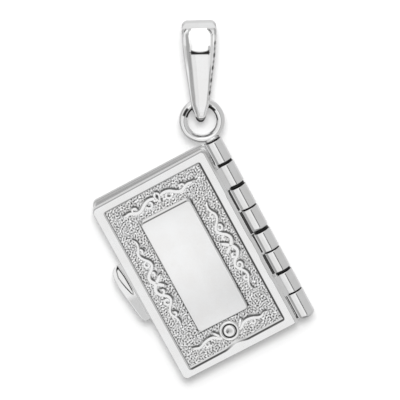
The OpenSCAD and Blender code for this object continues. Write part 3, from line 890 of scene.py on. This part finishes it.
def addKnuckle(shape, top, bottom, bottomR):
    r, hole, topR = hinge["barrelR"], hinge["pinHole"], hinge["endR"]
    upper = arcRows(r - topR, top - topR, topR, 90, 0)
    lower = arcRows(r - bottomR, bottom + bottomR, bottomR, 0, -90, 8 if bottomR > 0.1 else 4)
    # painted shade on the end faces and in the bore, so the gaps between knuckles read dark
    profile = [(hole, top - 0.03, 1), (hole + 0.03, top, 1), (r - topR - 0.02, top, 1)]
    profile += [(*row, shade) for row, shade in zip(upper, (1, 0.8, 0.2, 0, 0))]
    profile += [(*row, 0.4 * k / len(lower)) for k, row in enumerate(lower)]
    if bottom < book["bottom"]:  # the lowest knuckle closes over the pin's end
        profile += [(0.002, bottom, 0.4), (0.002, bottom + 0.2, 1), (hole, bottom + 0.4, 1)]
    else:
        profile += [(r - bottomR - 0.02, bottom, 1), (hole + 0.03, bottom, 1),
                    (hole, bottom + 0.03, 1)]
    shape.addTurned(profile)


def knucklesOf(owner):
    return [row[1:] for row in hinge["knuckles"] if row[0] == owner]


def addTab(shape, outline, top, bottom, paintedShade, rows=1):
    shape.addPrism(outline, bottom + hinge["tabShort"], top - hinge["tabShort"],
                   hinge["tabBevel"], paintedShade, rows)


def tabShade(at):
    base, rise = hinge["tabInner"]
    inner = at[1] > base + rise * (at[0] + 1)
    return inner * fade(at[2], *hinge["darkZ"])


def makeKnuckles(body, slot, mirrorY=False, tab=None):
    shape = Shape()
    for top, bottom, bottomR in knucklesOf(body):
        addKnuckle(shape, top, bottom, bottomR)
        if tab:
            addTab(shape, tab, top, bottom, tabShade if mirrorY else 0, hinge["tabRows"])
    shape.make(body + "_knuckles", body, slot, "hingeMetal", mirrorY)


for body, mirrorY, seed in (("back_cover", False, 11), ("front_cover", True, 23)):
    plate = makePlate(body, mirrorY)
    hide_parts(body)
    makeField(body, mirrorY, seed)
    makePanel(body, mirrorY)
    makeBoss(body, mirrorY)
    makeScrolls(body, mirrorY)
    makeKnuckles(body, "cover_metal", mirrorY, hinge["coverTab"])
    print(body + ": made")

# Pages: thin satin leaves between the covers

page = {
    "thick": .45, "gap": .08, "foreX": -10.5, "spineX": -.95, "inset": .15, "edgeR": .06,
    "cornerR": .4, "neck": .25, "neckX": (-1.25, -.6), "topShade": .52,
    "spineFade": .4, "fadeZ": (-5, -3),
}


def makePage(body, yLow):
    e, thick, neck = page["edgeR"], page["thick"], page["neck"]
    top, bottom = book["top"] - page["inset"], book["bottom"] + page["inset"]
    loops = []
    for step in range(8):  # four loops round each edge
        a = math.radians(30 * (step % 4))
        across, over = e * (1 - math.sin(a)), e * (1 - math.cos(a))
        inset, y = (across, yLow + over) if step < 4 else (over, yLow + thick - across)
        loops.append(roundedLoop(page["foreX"] + inset, page["spineX"] - inset, bottom + inset,
                                 top - inset, page["cornerR"] - inset, y))
    # painted shade along the top edge and deep in the hinge
    values = sideValues(page["topShade"], 0, 0, 1)
    paintedShade = [[value * (1 - page["spineFade"] * ease(z, *page["fadeZ"]) * (value == 1))
               for value, (_, _, z) in zip(values, loop)] for loop in loops]
    shape = Shape().addLoops(loops, paintedShade)
    low = yLow if yLow > 0 else yLow + thick - neck
    left, right = page["neckX"]
    outline = [(left, low), (right, low), (right, low + neck), (left, low + neck)]
    # the necks are painted black, as shade between the cover and the barrels
    for top, bottom, _ in knucklesOf(body):
        addTab(shape, outline, top, bottom, 1)
    piece = shape.make(body + "_leaf", body, "page_metal", "pageMetal")
    piece.visible_glossy = False
    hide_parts(body)
    makeKnuckles(body, "page_metal")


makePage("page_1", page["gap"])
makePage("page_2", -page["gap"] - page["thick"])
print("pages: made")

# Clasp: a sprung catch on the fore-edge, a leaf-shaped loop over a flat foot

clasp = {
    "topZ": -6.75, "foreX": -10.65, "reach": 1, "tall": 4.99, "halfWide": 1.15, "edgeR": .07,
    # share of the height, share of the reach
    "outer": [(0, .4), (.015, .6), (.04, .8), (.09, .97), (.18, 1.06), (.3, 1.07),
              (.42, 1.02), (.922, .71), (.984, .52), (1, .34)],
    "inner": [(0, .3), (.08, .2), (.2, .13), (.44, .09), (.56, .06), (1, .06)],
    "slotOuter": [(.015, .36), (.068, .6), (.182, .745), (.266, .7), (.364, .61),
                  (.494, .45), (.53, .34)],
    "slotInner": [(.015, .33), (.057, .31), (.214, .22), (.302, .21), (.409, .2),
                  (.491, .22), (.53, .32)],
    # its top falls away towards the back by this much, down to this share
    "fall": .5, "fallTo": .35, "slotDeep": .1, "slotEnds": (.015, .53),
    # soft limits of the painted shade on the slot's wall, its thin outline, its tip and the foot
    "wallWide": (.07, .13), "wallFade": (.44, .5), "outlineWide": (.03, .06),
    "outlineFade": (.24, .36), "tipShade": (.05, .09), "footShade": .28, "footFrom": (.5, .62),
    "rows": 120, "across": 48,
}


def makeClasp():
    half, loops, paintedShades = clasp["halfWide"], [], []
    first, last = clasp["slotEnds"]
    for share in np.linspace(0, 1, clasp["rows"]):
        z = clasp["topZ"] - share * clasp["tall"]
        near, far, slotNear, slotFar = (along(clasp[name], share) for name in (
            "inner", "outer", "slotInner", "slotOuter"))
        front, shade = [], []
        for reach in np.linspace(near, far, clasp["across"]):
            fromEdge = min(reach - near, far - reach, share * clasp["tall"],
                           (1 - share) * clasp["tall"])
            depth = edgeDrop(fromEdge, min(clasp["edgeR"], (far - near) / 2))
            inSlot = min(reach - slotNear, slotFar - reach)
            # painted shade on the lower foot, away from its edges
            dark = clasp["footShade"] * ease(share, *clasp["footFrom"])
            dark = dark * ease(fromEdge, 0.05, 0.12)
            if first < share < last and inSlot > 0:
                depth += clasp["slotDeep"] * ease(inSlot, 0, 0.05)
                # painted shade: the wall nearest the cover is dark, the outer one a thin line, the
                # tip darkest
                wall = fade(reach - slotNear, *clasp["wallWide"])
                wall = wall * fade(share, *clasp["wallFade"])
                outline = fade(slotFar - reach, *clasp["outlineWide"])
                outline = outline * (0.3 + 0.7 * ease(share, *clasp["outlineFade"]))
                dark = max(wall, outline, fade(share, *clasp["tipShade"]))
            front.append((clasp["foreX"] - reach * clasp["reach"], depth - half, z))
            shade.append(dark)
        back = [(x, -y, z) for x, y, z in front[::-1]]
        fall = clasp["fall"] * fade(share, 0, clasp["fallTo"])
        loops.append([(x, y, z - fall * (y + half) / (2 * half)) for x, y, z in front + back])
        paintedShades.append(shade + shade[::-1])
    shape = Shape().addLoops(loops, paintedShades)
    piece = shape.make("clasp_spring", "front_cover", "clasp_metal", "claspMetal")
    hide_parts("clasp")


makeClasp()
print("clasp: made")

# Stage: a pale sweep behind and below, seen by the camera but not mirrored in the metal

stage = {"wallY": 24, "floorZ": -62, "curveR": 30, "wide": 260, "tall": 150,
         "front": 220, "steps": 12, "tone": .5, "glow": .02}


def makeStage():
    wallY, floorZ, r = stage["wallY"], stage["floorZ"], stage["curveR"]
    profile = [(wallY, stage["tall"])] + arcRows(wallY - r, floorZ + r, r, 0, -90, stage["steps"])
    profile.append((-stage["front"], floorZ))
    points = [(x, y, z) for y, z in profile for x in (-stage["wide"], stage["wide"])]
    faces = gridFaces(len(profile), 2)
    mesh = bpy.data.meshes.new("sweep")
    mesh.from_pydata(np.array(points) * mm, [], faces)
    mesh.polygons.foreach_set("use_smooth", np.ones(len(faces), bool))
    mesh.update()
    if mesh.polygons[0].normal.y > 0:
        mesh.flip_normals()
    material, make = newMaterial("paleSweep")
    paper = make.node("ShaderNodeBsdfDiffuse", {}, {"Color": grey(stage["tone"])})
    glow = make.node("ShaderNodeEmission", {}, {"Color": grey(1), "Strength": stage["glow"]})
    sheet = make.node("ShaderNodeAddShader", {}, {0: paper, 1: glow})
    clear = make.node("ShaderNodeBsdfTransparent")
    behind = make.node("ShaderNodeNewGeometry", out=6)
    one = make.node("ShaderNodeMixShader", {}, {0: behind, 1: sheet, 2: clear})
    make.node("ShaderNodeOutputMaterial", {}, {"Surface": one})
    mesh.materials.append(material)
    sweep = linked("sweep", mesh)
    sweep.visible_glossy = False


makeStage()

# Light: a soft tent all round. Patches are azimuth from the camera to the right and height
tent = {
    "base": .45, "seen": .97,
    "patches": {
        # azimuth low, high, height low, high, softness, level
        "back": (112, 248, -42, 90, 10, .7),
        "backHigh": (100, 260, 46, 90, 8, .82),
        "backLow": (100, 260, -90, -42, 8, .42),
        "left": (-125, -68, -90, 80, 8, .5),
        "leftLow": (-125, -70, -60, -12, 8, .38),
        "leftHigh": (-125, -40, 38, 80, 8, .85),
        "leftWing": (-72, -14, -48, 42, 6, .85),
        "rightWing": (11, 112, -60, 75, 5, .6),
        "front": (-16, 8, -50, 70, 4, .93),
        "frontHigh": (-18, 10, 2, 84, 6, 1.25),
        "darkLine": (11, 18, -20, 0, 2, .03),
        "frontFloor": (-70, 70, -82, -54, 5, .2),
    },
    "top": (84, 90, .75),
}


def makeTent():
    world = bpy.data.worlds.new("tent")
    bpy.context.scene.world = world
    world.use_nodes = True
    make = Maker(world.node_tree)
    way = make.node("ShaderNodeTexCoord", out=0)
    split = make.node("ShaderNodeSeparateXYZ", {}, {0: way})
    x, y, z = (Wire(make, socket) for socket in split.socket.node.outputs)
    def band(at, low, high, soft):
        return at.ramp(low - soft, low + soft) * (1 - at.ramp(high - soft, high + soft))
    azimuth = x.sum("ARCTAN2", y * -1) * (180 / math.pi)
    height = z.sum("ARCSINE") * (180 / math.pi)
    level = tent["base"]
    for low, high, below, above, soft, value in tent["patches"].values():
        turned = azimuth + azimuth.sum("LESS_THAN", 0) * 360 if high > 180 else azimuth
        mask = band(turned, low, high, soft) * band(height, below, above, soft)
        level = mask * (value - level) + level
    low, high, value = tent["top"]
    mask = height.ramp(low, high)
    level = level + mask * (value - level)
    seen = make.node("ShaderNodeLightPath", out=0)
    level = level + seen * (tent["seen"] - level)
    shine = make.node("ShaderNodeBackground", {}, {"Color": grey(1), "Strength": level})
    make.node("ShaderNodeOutputWorld", {}, {"Surface": shine})


makeTent()

camera = {"aim": (-.31, 0, -13.35), "away": 220, "height": 12.5, "lens": 257.5,
          "roll": -1.5, "sensor": 36, "clip": (.01, 5)}
aim, viewUp = Vector(camera["aim"]), math.radians(camera["height"])
toEye = Vector((0, -math.cos(viewUp), math.sin(viewUp)))
eyePlace = aim + toEye * camera["away"]


def aimed(name, data, place, roll=0):
    made = linked(name, data)
    made.location, made.rotation_mode = place * mm, "QUATERNION"
    look = (aim - place).to_track_quat("-Z", "Y")
    made.rotation_quaternion = Quaternion(toEye, math.radians(roll)) @ look
    return made


def makeCamera():
    data = bpy.data.cameras.new("camera")
    data.lens, data.sensor_width = camera["lens"], camera["sensor"]
    data.clip_start, data.clip_end = camera["clip"]
    bpy.context.scene.camera = aimed("camera", data, eyePlace, camera["roll"])


makeCamera()

# Key lamps beside the lens, for the soft shadow on the sweep alone
keys = [
    {"name": "keyNear", "up": 3.9, "watts": .44, "across": 6},
    {"name": "keyWide", "up": 7, "watts": .37, "across": 18},
]


def makeKey(row):
    data = bpy.data.lights.new(row["name"], "AREA")
    data.shape, data.size, data.energy = "DISK", row["across"] * mm, row["watts"]
    above = Vector((0, math.sin(viewUp), math.cos(viewUp))) * row["up"]
    lamp = aimed(row["name"], data, eyePlace + above)
    lamp.visible_glossy = lamp.visible_camera = False


for row in keys:
    makeKey(row)
bpy.context.scene.view_settings.view_transform = "Standard"
print("stage, light and camera: made")
